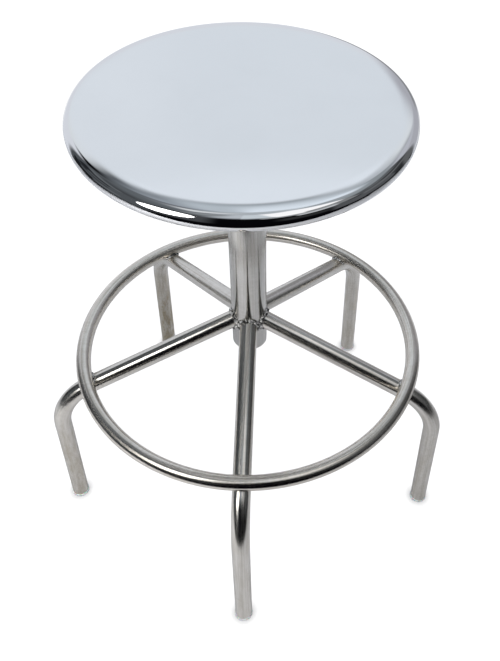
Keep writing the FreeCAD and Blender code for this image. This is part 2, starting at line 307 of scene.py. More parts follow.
@dataclass(frozen=True)
class PolishedTube(Finish):
    """Belt polished steel tube: fine scratches round it, long draw lines along it, and a faint uneven stain.

    The scratches draw reflections out along the tube. Without a tangent of its own the shader's tangent runs
    round the upright axis, so the turn is a quarter on the legs and the hub and nothing on the foot ring. The
    stain is straw and olive. Towards the floor it is stronger, by a weight given for each leg and most on the
    rear left one: partly stain, and partly painted shade on the legs that look darker.
    """

    turn: float
    colour: Colour = (0.785, 0.76, 0.72)
    line_colour: Colour = (0.57, 0.545, 0.495)
    stain_and_shade_colour: Colour = (0.38, 0.32, 0.22)
    roughness: float = 0.145
    line_roughness: float = 0.04
    stain_roughness: float = 0.1
    anisotropy: float = 0.97
    around: Grain = Grain((120.0, 120.0, 5200.0), depth=0.0000012)
    hatch: Grain = Grain((70.0, 70.0, 640.0), 1.0)
    draw: Grain = Grain((520.0, 520.0, 7.0), 3.0, 0.53, 0.16, 0.000013)
    blotch: Grain = Grain((150.0, 150.0, 34.0), 4.0, 0.5, 0.12)
    speck: Grain = Grain((520.0, 520.0, 170.0), 2.0, 0.56, 0.1)
    line_share: float = 0.6
    hatch_share: float = 0.3
    even_stain_and_shade: float = 0.35
    blotch_stain: float = 0.3
    speck_stain: float = 0.3
    high_stain: float = 0.12
    low_height: float = 0.19
    low_softness: float = 0.1

    def inputs(self, desk: NodeDesk) -> Inputs:
        """Lays the nodes of the scratches, the lines, and the stain with its painted shade.

        Args:
            desk: Where they go.

        Returns:
            The inputs of the shader.
        """
        place = desk.coordinates(Pattern.TUBE)
        around = desk.noise(place, self.around)
        draw = desk.noise(place, self.draw)
        lines = draw.step(self.draw.middle, self.draw.softness)
        low = 1 - desk.axes()[2].step(self.low_height, self.low_softness)
        # Darker towards the floor by each leg's weight: partly stain, partly painted shade.
        stain_and_shade_weight = desk.node("ShaderNodeAttribute", {"attribute_name": STAIN_SHADE_ATTRIBUTE}, None, "Fac") * low
        blotch = desk.patches(place, self.blotch)
        speck = desk.patches(place, self.speck)
        low_stain_and_shade = blotch * self.blotch_stain + speck * self.speck_stain + self.even_stain_and_shade
        stain_and_painted_shade = low_stain_and_shade * stain_and_shade_weight + blotch * self.high_stain
        dull = lines * self.line_share + desk.patches(place, self.hatch) * self.hatch_share
        return {
            "Base Color": desk.mix(stain_and_painted_shade, desk.mix(dull, self.colour, self.line_colour), self.stain_and_shade_colour),
            "Metallic": 1.0,
            "Anisotropic": self.anisotropy,
            "Anisotropic Rotation": self.turn,
            "Roughness": self.roughness + lines * self.line_roughness + stain_and_painted_shade * self.stain_roughness,
            "Normal": desk.bumps((draw, self.draw), (around, self.around)),
        }


@dataclass(frozen=True)
class WeldMetal(Finish):
    """Brushed weld metal: ripples, a glitter of facets and near-black patches, which are painted shade in the
    gaps between the glints.
    """

    name: str = "weld_metal"
    colour: Colour = (0.96, 0.95, 0.93)
    gap_shade_colour: Colour = (0.03, 0.027, 0.022)
    gap_shade_share: float = 0.92
    roughness: float = 0.1
    facet_roughness: float = 0.12
    facets: Grain = Grain((360.0,) * 3, depth=0.0026, fine_share=0.6)
    gap_shade: Grain = Grain((300.0,) * 3, softness=0.04)

    def inputs(self, desk: NodeDesk) -> Inputs:
        """Lays the nodes of the facets and the tint.

        Args:
            desk: Where they go.

        Returns:
            Lays the nodes of the facets and of the painted shade between the glints.
        """
        place = desk.coordinates()
        facets = desk.noise(place, self.facets)
        # Near-black patches: painted shade in the gaps between the bead's glints.
        share = desk.patches(place, self.gap_shade) * self.gap_shade_share
        return {
            "Base Color": desk.mix(share, self.colour, self.gap_shade_colour),
            "Metallic": 1.0,
            "Roughness": self.roughness + facets * self.facet_roughness,
            "Normal": desk.bumps((facets, self.facets)),
        }


@dataclass(frozen=True)
class TurnedMetal(Finish):
    """Metal turned on a lathe or pressed: rings or a fine tooth, with a film of grease or tarnish."""

    colour: Colour
    film_colour: Colour
    roughness: float
    film_share: float = 0.5
    tooth_frequency: Sequence[float] = (240.0, 240.0, 5200.0)
    tooth_depth: float = 0.000004
    tooth_roughness: float = 0.08
    film_roughness: float = 0.1
    film: Grain = Grain((55.0,) * 3, 4.0)

    def inputs(self, desk: NodeDesk) -> Inputs:
        """Lays the nodes of the tooth and the film.

        Args:
            desk: Where they go.

        Returns:
            The inputs of the shader.
        """
        place = desk.coordinates()
        grain = Grain(self.tooth_frequency, depth=self.tooth_depth)
        tooth = desk.noise(place, grain)
        film = desk.patches(place, self.film)
        return {
            "Base Color": desk.mix(film * self.film_share, self.colour, self.film_colour),
            "Metallic": 1.0,
            "Roughness": self.roughness + tooth * self.tooth_roughness + film * self.film_roughness,
            "Normal": desk.bumps((tooth, grain)),
        }


@dataclass(frozen=True)
class MouldedPlastic(Finish):
    """Moulded plastic with a fine grain and a little dirt."""

    colour: Colour
    dirt_colour: Colour
    roughness: float
    subsurface: float = 0.0
    scatter_length: float = 0.002
    dirt_share: float = 0.35
    dirt_roughness: float = 0.15
    grain: Grain = Grain((1500.0,) * 3, depth=0.00001)
    dirt: Grain = Grain((130.0,) * 3, 4.0, 0.6, 0.12)

    def inputs(self, desk: NodeDesk) -> Inputs:
        """Lays the nodes of the grain and the dirt.

        Args:
            desk: Where they go.

        Returns:
            The inputs of the shader.
        """
        place = desk.coordinates()
        dirt = desk.patches(place, self.dirt)
        return {
            "Base Color": desk.mix(dirt * self.dirt_share, self.colour, self.dirt_colour),
            "Roughness": self.roughness + dirt * self.dirt_roughness,
            "Subsurface Weight": self.subsurface,
            "Subsurface Scale": self.scatter_length,
            "Normal": desk.bumps((desk.noise(place, self.grain), self.grain)),
        }


@dataclass
class Finishes:
    """The finishes of the stool, each made once."""

    mirror: Material = field(default_factory=MirrorSheet().material)
    tube: Material = field(default_factory=PolishedTube("polished_tube", 0.25).material)
    ring: Material = field(default_factory=PolishedTube(
        "polished_ring", 0.0, (0.79, 0.755, 0.705), (0.57, 0.53, 0.465), roughness=0.18).material)
    hub: Material = field(default_factory=PolishedTube(
        "polished_hub", 0.25, (0.69, 0.68, 0.655), (0.5, 0.485, 0.455), roughness=0.12).material)
    weld: Material = field(default_factory=WeldMetal().material)
    pressed: Material = field(default_factory=TurnedMetal(
        "pressed_steel", (0.86, 0.86, 0.85), (0.72, 0.71, 0.68), 0.25, 0.5, (500.0,) * 3).material)
    spindle: Material = field(default_factory=TurnedMetal(
        "greased_screw", (0.6, 0.6, 0.59), (0.36, 0.33, 0.27), 0.24, 0.7).material)
    bright: Material = field(default_factory=TurnedMetal(
        "bright_fastener", (0.7, 0.7, 0.69), (0.58, 0.57, 0.54), 0.26, 0.5, (900.0,) * 3).material)
    bronze: Material = field(default_factory=TurnedMetal(
        "turned_bronze", (0.72, 0.52, 0.28), (0.45, 0.31, 0.17), 0.28, 0.6).material)
    nylon: Material = field(default_factory=MouldedPlastic(
        "natural_nylon", (0.84, 0.82, 0.75), (0.6, 0.57, 0.5), 0.42, 0.2).material)
    glide: Material = field(default_factory=MouldedPlastic(
        "clear_white_nylon", (0.93, 0.93, 0.92), (0.74, 0.73, 0.7), 0.3, 0.3).material)
    plug: Material = field(default_factory=MouldedPlastic(
        "grey_plug", (0.3, 0.3, 0.31), (0.22, 0.22, 0.22), 0.45).material)


class Workpiece:
    """A mesh that is shaped in edit mode by operators and finished with modifiers."""

    def __init__(self, name: str, made: bpy.types.Object) -> None:
        """Takes charge of an object and names it."""
        self.object = made
        made.name = made.data.name = name

    @classmethod
    def circle(cls, name: str, radius: float, segments: int, place: Vector,
               facing: Vector = UP) -> "Workpiece":
        """Starts from a circle, whose ring stays selected in edit mode.

        Args:
            name: The piece's name.
            radius: The circle's radius.
            segments: The number of its sides.
            place: Its centre.
            facing: The normal of its plane.

        Returns:
            The piece.
        """
        bpy.ops.object.select_all(action="DESELECT")
        turn = facing.to_track_quat("Z", "Y").to_euler()
        bpy.ops.mesh.primitive_circle_add(vertices=segments, radius=radius, location=place, rotation=turn)
        bpy.ops.object.transform_apply(location=True, rotation=True, scale=True)
        bpy.ops.object.mode_set(mode="EDIT")
        bpy.ops.mesh.select_all(action="SELECT")
        return cls(name, bpy.context.active_object)

    @classmethod
    def rod(cls, radius: float, start: Vector, length: float, facing: Vector = UP,
            segments: int = 128) -> "Workpiece":
        """Makes a closed straight rod, to cut with.

        Args:
            radius: Its radius.
            start: The middle of its first end.
            length: Its length.
            facing: Where it points.
            segments: The number of its sides.

        Returns:
            The rod.
        """
        made = cls.circle("rod", radius, segments, start, facing)
        made.extrude(facing * length)
        made.close()
        return made

    def collapse(self) -> None:
        """Shrinks the circle to one vertex at its centre."""
        bpy.ops.mesh.merge(type="CENTER")

    def extrude(self, offset: Vector) -> None:
        """Extrudes what is selected by an offset."""
        bpy.ops.mesh.extrude_region_move(TRANSFORM_OT_translate={"value": offset})

    def widen(self, factor: float, centre: Vector) -> None:
        """Widens what is selected across the stool's axis."""
        bpy.ops.transform.resize(value=(factor, factor, 1), center_override=centre)

    def spin(self, centre: Vector, axis: Vector, angle: float, steps: int) -> None:
        """Spins the selected ring about an axis, right-handed, which the operator counts as negative."""
        bpy.ops.mesh.spin(steps=steps, angle=-angle, center=centre, axis=axis)

    def close(self, bored: bool = False) -> None:
        """Closes the piece and leaves edit mode.

        Args:
            bored: Whether its first ring is joined to its last one, in place of a face in each open end.
        """
        bpy.ops.mesh.select_all(action="DESELECT")
        bpy.ops.mesh.select_non_manifold(extend=False)
        if bored:
            bpy.ops.mesh.bridge_edge_loops()
        else:
            bpy.ops.mesh.fill_holes(sides=0)
        self.leave()

    def enter(self) -> None:
        """Goes into edit mode."""
        self.activate()
        bpy.ops.object.mode_set(mode="EDIT")

    def leave(self) -> None:
        """Merges doubles, turns the faces outwards and leaves edit mode."""
        bpy.ops.mesh.select_all(action="SELECT")
        bpy.ops.mesh.remove_doubles(threshold=MERGE_DISTANCE)
        bpy.ops.mesh.normals_make_consistent(inside=False)
        bpy.ops.object.mode_set(mode="OBJECT")

    def activate(self) -> None:
        """Makes this object the only one that operators act on."""
        bpy.ops.object.select_all(action="DESELECT")
        self.object.select_set(True)
        bpy.context.view_layer.objects.active = self.object

    def join(self, *others: "Workpiece") -> None:
        """Takes other pieces into this one.

        Args:
            others: The pieces, which are joined in this order.
        """
        for other in others:
            self.activate()
            other.object.select_set(True)
            bpy.ops.object.join()

    def trim(self, low: float, high: float) -> None:
        """Cuts the piece level at two heights and closes the cuts.

        Args:
            low: The height below which it is cut away.
            high: The height above which it is cut away.
        """
        self.enter()
        for height, above in ((low, False), (high, True)):
            bpy.ops.mesh.select_all(action="SELECT")
            bpy.ops.mesh.bisect(plane_co=UP * height, plane_no=UP, use_fill=True, clear_inner=not above,
                                clear_outer=above)
        self.leave()

    def modify(self, kind: str, **settings: Any) -> None:
        """Applies a modifier.

        Args:
            kind: Its type.
            settings: Its settings.
        """
        self.activate()
        modifier = self.object.modifiers.new(kind.lower(), kind)
        for name, value in settings.items():
            setattr(modifier, name, value)
        bpy.ops.object.modifier_apply(modifier=modifier.name)

    def cut(self, *cutters: "Workpiece") -> None:
        """Cuts other pieces away from this one, and removes them.

        Args:
            cutters: The pieces to cut with.
        """
        for cutter in cutters:
            self.modify("BOOLEAN", operation="DIFFERENCE", solver="EXACT", object=cutter.object)
            bpy.data.objects.remove(cutter.object)

    def ease(self, width: float, segments: int = 2, angle: float = 35.0) -> None:
        """Rounds the edges that are sharper than an angle in degrees."""
        self.modify("BEVEL", width=width, segments=segments, limit_method="ANGLE",
                    angle_limit=math.radians(angle), harden_normals=False)

    def mark(self, reading: Callable[[Vector], Vector]) -> None:
        """Writes the grain attribute, two places across the tube and one along it, and centres the tangents.

        Args:
            reading: The grain at a point.
        """
        mesh = self.object.data
        mesh.use_auto_texspace = False
        mesh.texspace_location = ORIGIN
        mesh.texspace_size = (1, 1, 1)
        grain = mesh.attributes.new(Pattern.TUBE.value, "FLOAT_VECTOR", "POINT")
        for vertex, value in zip(mesh.vertices, grain.data):
            value.vector = reading(vertex.co)

    def turned_copy(self, name: str, angle: float) -> "Workpiece":
        """Copies the piece with its mesh, and turns the copy about the stool's axis.

        Args:
            name: The copy's name.
            angle: The turn in degrees.

        Returns:
            The copy.
        """
        made = self.object.copy()
        made.data = self.object.data.copy()
        made.data.transform(Matrix.Rotation(math.radians(angle), 4, "Z"))
        bpy.context.scene.collection.objects.link(made)
        return Workpiece(name, made)

    def finish(self, body: Body, slot: str, material: Material, node: str, smooth: float = 40.0) -> None:
        """Smooths, dresses and seats the piece on its body.

        Args:
            body: The body that it rides on.
            slot: The record's material slot, which is not used.
            material: Its finish.
            node: The construction node that it stands for.
            smooth: The angle, in degrees, below which an edge is shaded smooth.
        """
        self.activate()
        bpy.ops.object.shade_smooth_by_angle(angle=math.radians(smooth))
        mesh = self.object.data
        mesh.materials.clear()
        mesh.materials.append(material)
        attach(self.object, body.value)
        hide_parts(node)
        log.info("%s: %d faces on %s", self.object.name, len(mesh.polygons), body.value)


def heights(node: str) -> tuple[float, float]:
    """Returns the lowest and highest point of a construction node."""
    low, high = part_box(node)
    return low.z, high.z


def half_width(node: str) -> float:
    """Returns half of a construction node's extent along X, the radius of a round one."""
    low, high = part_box(node)
    return (high.x - low.x) / 2


def level(angle: float) -> Vector:
    """Returns the level direction at an angle, in degrees, from +X towards +Y."""
    return Vector((math.cos(math.radians(angle)), math.sin(math.radians(angle)), 0))


def arc(centre: ProfilePoint, radius: float, start: float, end: float, steps: int) -> list[ProfilePoint]:
    """Returns points of an arc in a profile.

    Args:
        centre: The arc's centre.
        radius: The arc's radius.
        start: The first angle in degrees, from outwards towards up.
        end: The last angle.
        steps: The number of steps between them.

    Returns:
        The points as (radius, height).
    """
    angles = [math.radians(start + (end - start) * i / steps) for i in range(steps + 1)]
    return [(centre[0] + radius * math.cos(a), centre[1] + radius * math.sin(a)) for a in angles]


def turn_profile(name: str, profile: Sequence[ProfilePoint], segments: int = 96,
                 bored: bool = False) -> Workpiece:
    """Turns a profile about the stool's axis.

    Args:
        name: The piece's name.
        profile: Its points as (radius, height), none on the axis.
        segments: The number of sides.
        bored: Whether the profile is a closed section round a bore.

    Returns:
        The closed piece.
    """
    radius, height = profile[0]
    piece = Workpiece.circle(name, radius, segments, UP * height)
    for next_radius, next_height in profile[1:]:
        piece.extrude(UP * (next_height - height))
        piece.widen(next_radius / radius, UP * next_height)
        radius, height = next_radius, next_height
    piece.close(bored)
    return piece


def turn_ring(name: str, node: str, bore: float, segments: int = 128) -> Workpiece:
    """Turns a plain ring as wide and as high as a construction node.

    Args:
        name: The ring's name.
        node: The construction node.
        bore: The radius of its bore.
        segments: The number of sides.

    Returns:
        The ring.
    """
    low, high = heights(node)
    outer = half_width(node)
    return turn_profile(name, [(bore, low), (outer, low), (outer, high), (bore, high)], segments, bored=True)


def dress_nodes(material: Material, *nodes: str) -> None:
    """Gives construction nodes, which stay as they are, their finish.

    Args:
        material: The finish.
        nodes: The nodes.
    """
    for node in nodes:
        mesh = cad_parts[node].data
        mesh.materials.clear()
        mesh.materials.append(material)
        log.info("%s: construction mesh, %s", node, material.name)


@dataclass
class Seat:
    """The spun seat and what fastens it to the spindle."""

    finishes: Finishes
    sheet: float = 0.0015
    lip_width: float = 0.014
    lead_radius: float = 0.1
    lead_tilt: float = 8.0
    lead_steps: int = 8
    shoulder_radius: float = 0.0115
    roll_steps: int = 36
    flat_rings: Sequence[float] = (0.05, 0.12, 0.16)
    sides: int = 256
    stiffener_sheet: float = 0.002
    stiffener_rim: float = 0.165
    stiffener_shoulder: float = 0.122
    stiffener_floor: float = 0.096
    stiffener_bore: float = 0.024
    press_round: float = 0.0015
    flange_round: float = 0.0005
    screw_circle: float = 0.060
    screw_hole: float = 0.0045
    screw_count: int = 4

    def build(self) -> None:
        """Builds and dresses the pieces. The screws, weld nuts and bead stay as constructed."""
        self.pan()
        self.stiffener()
        self.flange()
        dress_nodes(self.finishes.bright, "seat_screws", "weld_nuts")
        dress_nodes(self.finishes.weld, "flange_weld_bead")

    def edge_line(self, inset: float) -> list[ProfilePoint]:
        """Draws the pan's edge, in which a wide arc leads the flat down into the upper quarter.

        Args:
            inset: How far inside the surface the line lies.

        Returns:
            The line, from the flat to the lip.
        """
        low, high = heights("seat_pan")
        outer = half_width("seat_pan")
        shoulder = self.shoulder_radius
        roll = outer - shoulder
        tilt = math.radians(self.lead_tilt)
        sink = (self.lead_radius - shoulder) * (1 - math.cos(tilt))
        lead = (roll - (self.lead_radius - shoulder) * math.sin(tilt), high - self.lead_radius)
        under = high - sink - shoulder - low
        line = arc(lead, self.lead_radius - inset, 90, 90 - self.lead_tilt, self.lead_steps)
        line += arc((roll, low + under), shoulder - inset, 90 - self.lead_tilt, 0, self.roll_steps)[1:]
        line += arc((outer - under, low + under), under - inset, 0, -90, self.roll_steps)[1:]
        return line

    def pan(self) -> None:
        """The mirror polished pan: a flat top that eases into a full-round edge, and a lip below."""
        low, high = heights("seat_pan")
        lip = half_width("seat_pan") - (high - low) / 2 - self.lip_width
        profile = [(radius, high) for radius in self.flat_rings] + self.edge_line(0)
        profile += [(lip, low), (lip, low + self.sheet)] + self.edge_line(self.sheet)[::-1]
        profile += [(radius, high - self.sheet) for radius in (self.flat_rings[-1], self.flat_rings[0])]
        pan = turn_profile("seat_pan_polished", profile, self.sides)
        pan.finish(Body.SEAT, "polished_steel", self.finishes.mirror, "seat_pan")

    def hole_cutters(self, low: float, high: float) -> list[Workpiece]:
        """Returns rods for the screw holes between two heights."""
        angles = [360 * (i + 0.5) / self.screw_count for i in range(self.screw_count)]
        places = [level(angle) * self.screw_circle + UP * low for angle in angles]
        return [Workpiece.rod(self.screw_hole, place, high - low, segments=32) for place in places]

    def stiffener(self) -> None:
        """The pressed dish that carries the seat sheet."""
        low, high = heights("seat_stiffener")
        sheet = self.stiffener_sheet
        profile = [
            (self.stiffener_bore, low + sheet), (self.stiffener_floor, low + sheet),
            (self.stiffener_shoulder, high), (self.stiffener_rim, high),
            (self.stiffener_rim, high - sheet), (self.stiffener_shoulder + sheet / 2, high - sheet),
            (self.stiffener_floor + sheet / 2, low), (self.stiffener_bore, low),
        ]
        dish = turn_profile("stiffener_pressed", profile, 128, bored=True)
        dish.ease(self.press_round, 3, 20)
        dish.cut(*self.hole_cutters(low - sheet, low + 2 * sheet))
        dish.finish(Body.SEAT, "satin_steel", self.finishes.pressed, "seat_stiffener")

    def flange(self) -> None:
        """The spindle's plate."""
        low, high = heights("seat_flange")
        plate = turn_ring("flange_plate", "seat_flange", half_width("spindle"))
        plate.cut(*self.hole_cutters(low - self.sheet, high + self.sheet))
        plate.ease(self.flange_round)
        plate.finish(Body.SEAT, "satin_steel", self.finishes.pressed, "seat_flange")


@dataclass
class ScrewLift:
    """The spindle with its nut, washer, bush and tail."""

    finishes: Finishes
    lead: float = 0.00635
    thread_depth: float = 0.0034
    crest_share: float = 0.37
    flank_share: float = 0.13
    turn_steps: int = 48
    tail_radius: float = 0.009
    tail_bore: tuple[float, float] = (0.00505, 0.022)
    shoulder_gap: float = 0.0003
    nut_clearance: float = 0.00005
    nut_flange: float = 0.005
    nut_shoulder: float = 0.003
    nut_round: float = 0.0006
    washer_clearance: float = 0.0005
    washer_round: float = 0.0004

    def build(self) -> None:
        """Builds and dresses the pieces. The bush, the tail's and the nut's fasteners stay as constructed."""
        self.spindle()
        self.nut()
        self.washer()
        dress_nodes(self.finishes.nylon, "guide_bush")
        dress_nodes(self.finishes.bright, "tail_washer", "tail_bolt", "nut_set_screws")

    def spindle(self) -> None:
        """The trapezoidal screw, made from one pitch of its profile, and its plain tail."""
        low, high = heights("spindle")
        thread_top = heights("seat_flange")[0]
        shoulder = heights("guide_bush")[1] + self.shoulder_gap
        crest = half_width("spindle")
        root = crest - self.thread_depth
        turns = math.ceil((high - shoulder) / self.lead) + 2
        thread = Workpiece.circle("spindle_screw", root, 3, Vector((root, 0, shoulder - self.lead)))
        thread.collapse()
        rise = self.flank_share * self.lead
        crest_rise = self.crest_share * self.lead
        rest = self.lead - 2 * rise - crest_rise
        for radial, axial in ((crest - root, rise), (0, crest_rise), (root - crest, rise), (0, rest)):
            thread.extrude(Vector((radial, 0, axial)))
        bpy.ops.object.mode_set(mode="OBJECT")
        thread.modify("SCREW", angle=math.tau, screw_offset=self.lead, iterations=turns,
                      steps=self.turn_steps, render_steps=self.turn_steps, use_merge_vertices=True,
                      merge_threshold=MERGE_DISTANCE)
        thread.trim(shoulder, thread_top)
        bore, depth = self.tail_bore
        tail = [(bore, low + depth), (bore, low), (self.tail_radius, low), (self.tail_radius, shoulder)]
        shank = [(crest, thread_top), (crest, high)]
        thread.join(turn_profile("tail", tail, 64), turn_profile("shank", shank))
        thread.finish(Body.SEAT, "spindle_steel", self.finishes.spindle, "spindle", smooth=30)

    def nut(self) -> None:
        """The bronze nut, a flange on a body."""
        low, high = heights("spindle_nut")
        outer = half_width("spindle_nut")
        bore = half_width("spindle") + self.nut_clearance
        body = outer - self.nut_shoulder
        step = high - self.nut_flange
        profile = [(bore, low), (body, low), (body, step), (outer, step), (outer, high), (bore, high)]
        nut = turn_profile("spindle_nut_bronze", profile, bored=True)
        nut.ease(self.nut_round)
        nut.finish(Body.BASE, "bronze", self.finishes.bronze, "spindle_nut")

    def washer(self) -> None:
        """The thrust washer on which the seat rests."""
        bore = half_width("spindle") + self.washer_clearance
        ring = turn_ring("thrust_washer_nylon", "thrust_washer", bore, 96)
        ring.ease(self.washer_round)
        ring.finish(Body.BASE, "pale_nylon", self.finishes.nylon, "thrust_washer")


@dataclass
class LegPath:
    """The centreline of a leg along +X: a sloping run from the axis, a bend and a nearly upright run."""

    axis_height: float = 0.3527
    slope: float = math.radians(19.3)
    splay: float = math.radians(1.9)
    bend_radius: float = 0.082
    foot_radius: float = 0.3025

    def __post_init__(self) -> None:
        """Works out the bend from the driving sizes."""
        self.top = UP * self.axis_height
        self.upper = Vector((math.cos(self.slope), 0, -math.sin(self.slope)))
        self.lower = Vector((math.sin(self.splay), 0, -math.cos(self.splay)))
        self.turn = math.pi / 2 - self.slope - self.splay
        lean = math.tan(self.slope) * math.tan(self.splay)
        corner_x = (self.foot_radius - self.axis_height * math.tan(self.splay)) / (1 - lean)
        corner = Vector((corner_x, 0, self.axis_height - corner_x * math.tan(self.slope)))
        reach = self.bend_radius * math.tan(self.turn / 2)
        self.bend_start = corner - self.upper * reach
        self.bend_end = corner + self.lower * reach
        self.upper_normal = Vector((math.sin(self.slope), 0, math.cos(self.slope)))
        self.bend_centre = self.bend_start - self.upper_normal * self.bend_radius

    def grain(self, point: Vector) -> Vector:
        """Reads a point's place in the tube as if it were straight.

        Args:
            point: The point, on the leg along +X.

        Returns:
            Its two places across the tube and its place along it.
        """
        run = (self.bend_start - self.top).length
        along = (point - self.top).dot(self.upper)
        if along < run:
            return Vector(((point - self.top).dot(self.upper_normal), point.y, along))
        arm = point - self.bend_centre
        angle = math.atan2(arm.dot(self.upper), arm.dot(self.upper_normal))
        if 0 <= angle < self.turn:
            across = Vector((arm.x, arm.z)).length - self.bend_radius
            return Vector((across, point.y, run + angle * self.bend_radius))
        past = point - self.bend_end
        normal = Vector((math.cos(self.splay), 0, math.sin(self.splay)))
        along = run + self.turn * self.bend_radius + past.dot(self.lower)
        return Vector((past.dot(normal), point.y, along))


@dataclass
class WeldBead:
    """A scalloped, lumpy bead of weld along a seam round a leg.

    The sweep is how much of a turn round the leg the seam makes. The seam gives the place and the outward
    direction at an angle round the leg, which is zero in its middle. The scallops lean back along the bead,
    an open bead runs out at its ends, and lumps are counted per bead and per metre across it.
    """

    thickness: float
    stations: int
    sweep: float
    seam: Seam
    sides: int = 16
    stations_a_scallop: int = 8
    scallop_swell: float = 0.3
    scallop_lean: float = 0.8
    mean_scallop: float = 0.64
    lump_swell: float = 0.3
    lump_frequency: tuple[float, float] = (70.0, 900.0)
    end_sharpness: int = 8
    thinnest_end: float = 0.04
    bar_bend: float = 10.0
    look_ahead: float = 0.006
    slack: float = 0.001

    def lay(self, name: str) -> Workpiece:
        """Bends a bar into a ring or a part of one, and moves its rings to their stations on the seam.

        Args:
            name: The bead's name.

        Returns:
            The bead.
        """
        open_ended = self.sweep < math.tau
        bend = self.bar_bend * self.thickness
        made = Workpiece.circle(name, self.thickness, self.sides, Vector((bend, 0, 0)), SIDE)
        made.spin(ORIGIN, UP, self.sweep, self.stations)
        if open_ended:
            made.close()
        else:
            made.leave()
        for vertex in made.object.data.vertices:
            point = vertex.co
            turn = (math.atan2(point.y, point.x) + self.slack) % math.tau - self.slack
            share = min(max(turn / self.sweep, 0.0), 1.0)
            angle = (share - 0.5) * self.sweep
            place, outward = self.seam(angle)
            ahead = self.seam(angle + self.look_ahead)[0]
            side = (ahead - place).normalized().cross(outward).normalized()
            across = Vector((point.x, point.y)).length - bend
            swell = self.swell(share, across, point.z)
            if open_ended:
                swell *= math.sqrt(max(1 - (2 * share - 1) ** self.end_sharpness, self.thinnest_end))
            vertex.co = place + (outward * across + side * point.z) * swell
        made.enter()
        made.leave()
        return made

    def swell(self, share: float, across: float, height: float) -> float:
        """Works out how much thicker than the bar the bead is.

        Args:
            share: The place along the bead, from 0 to 1.
            across: The place across the bar, in its bend's plane.
            height: The place across the bar, out of that plane.

        Returns:
            The factor.
        """
        scallops = round(self.stations / self.stations_a_scallop)
        lean = self.scallop_lean * across / self.thickness
        scallop = abs(math.sin(math.pi * scallops * share - lean)) - self.mean_scallop
        length, width = self.lump_frequency
        lump = noise.noise(Vector((share * length, across * width, height * width)))
        return 1 + self.scallop_swell * scallop + self.lump_swell * lump


